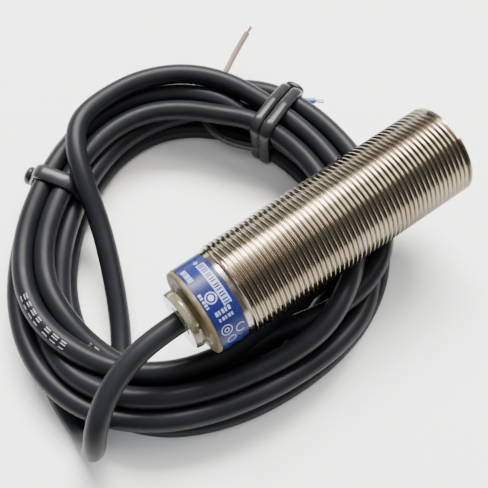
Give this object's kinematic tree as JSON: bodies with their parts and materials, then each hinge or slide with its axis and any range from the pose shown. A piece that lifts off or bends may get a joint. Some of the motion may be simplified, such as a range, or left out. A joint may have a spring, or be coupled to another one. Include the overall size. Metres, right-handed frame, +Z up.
{
  "type": "proximity sensor",
  "caption": "Cylindrical inductive proximity sensor: threaded metal barrel, flush sensing face, blue label band, sealed rear plug and a coiled, tied connection cable.",
  "frame": {"origin": "centre of the flat sensing face, on the barrel's axis", "axes": "+X out of the sensing face along the barrel's axis, towards the target; +Z up; the coiled cable lies on a surface 21 mm below the axis"},
  "size_m": [0.0865, 0.0744, 0.03],
  "materials": {
    "nickel_plate": "bright nickel plate over machined brass",
    "black_plastic": "fine matt moulded plastic",
    "black_rubber": "matt nitrile rubber",
    "copper_shield": "rolled copper strip",
    "ferrite": "sintered, matt grey-black",
    "white_plastic": "natural moulded plastic",
    "enamelled_copper": "enamelled copper winding",
    "grey_sleeve": "thin extruded sleeve",
    "blue_label": "glossy printed film, royal blue with pale blue marks",
    "amber_plug": "translucent olive-amber moulded plug",
    "clear_boss": "clear, faintly yellow, polished",
    "crimp_steel": "bright tinned steel",
    "cable_black": "satin black PVC sheath with a row of pale printed dashes",
    "board_green": "solder-masked glass-epoxy board",
    "chip_black": "moulded package",
    "resistor_tan": "lacquered resistor body",
    "capacitor_sleeve": "shrunk plastic sleeve",
    "diode_glass": "glass diode body",
    "varistor_blue": "dipped epoxy coating",
    "led_red": "tinted clear lens",
    "ceramic_tan": "fired ceramic",
    "potting_resin": "cast epoxy",
    "tie_black": "glossy flat plastic-covered tie",
    "wire_brown": "satin brown PVC insulation",
    "wire_blue": "satin blue PVC insulation",
    "copper_strands": "bright stranded copper"
  },
  "bodies": {
    "root": {"threaded_barrel": "nickel_plate", "sensing_face_cap": "black_plastic", "front_seal_ring": "black_rubber", "shield_band": "copper_shield", "ferrite_core": "ferrite", "coil_bobbin": "white_plastic", "coil_winding": "enamelled_copper", "board_carrier": "white_plastic", "insulating_sleeve": "grey_sleeve", "label_band": "blue_label", "rear_plug": "amber_plug", "cable_boss": "clear_boss", "cable_crimp_ring": "crimp_steel", "cable_inner_end": "cable_black", "circuit_board": "board_green", "oscillator_chip": "chip_black", "timing_resistor": "resistor_tan", "sense_resistor": "resistor_tan", "smoothing_capacitor": "capacitor_sleeve", "zener_diode": "diode_glass", "surge_varistor": "varistor_blue", "bridge_rectifier": "chip_black", "status_led": "led_red", "switching_thyristor": "chip_black", "decoupling_capacitor": "ceramic_tan", "winding_lead_left": "enamelled_copper", "winding_lead_right": "enamelled_copper", "brown_inner_lead": "wire_brown", "blue_inner_lead": "wire_blue", "potting_resin": "potting_resin", "tie_top": "tie_black", "tie_left": "tie_black", "cable_near_strand": "cable_black", "cable_far_strand": "cable_black", "brown_wire": "wire_brown", "blue_wire": "wire_blue", "brown_wire_tip": "copper_strands", "blue_wire_tip": "copper_strands", "cable_coil": "cable_black"}
  },
  "joints": []
}
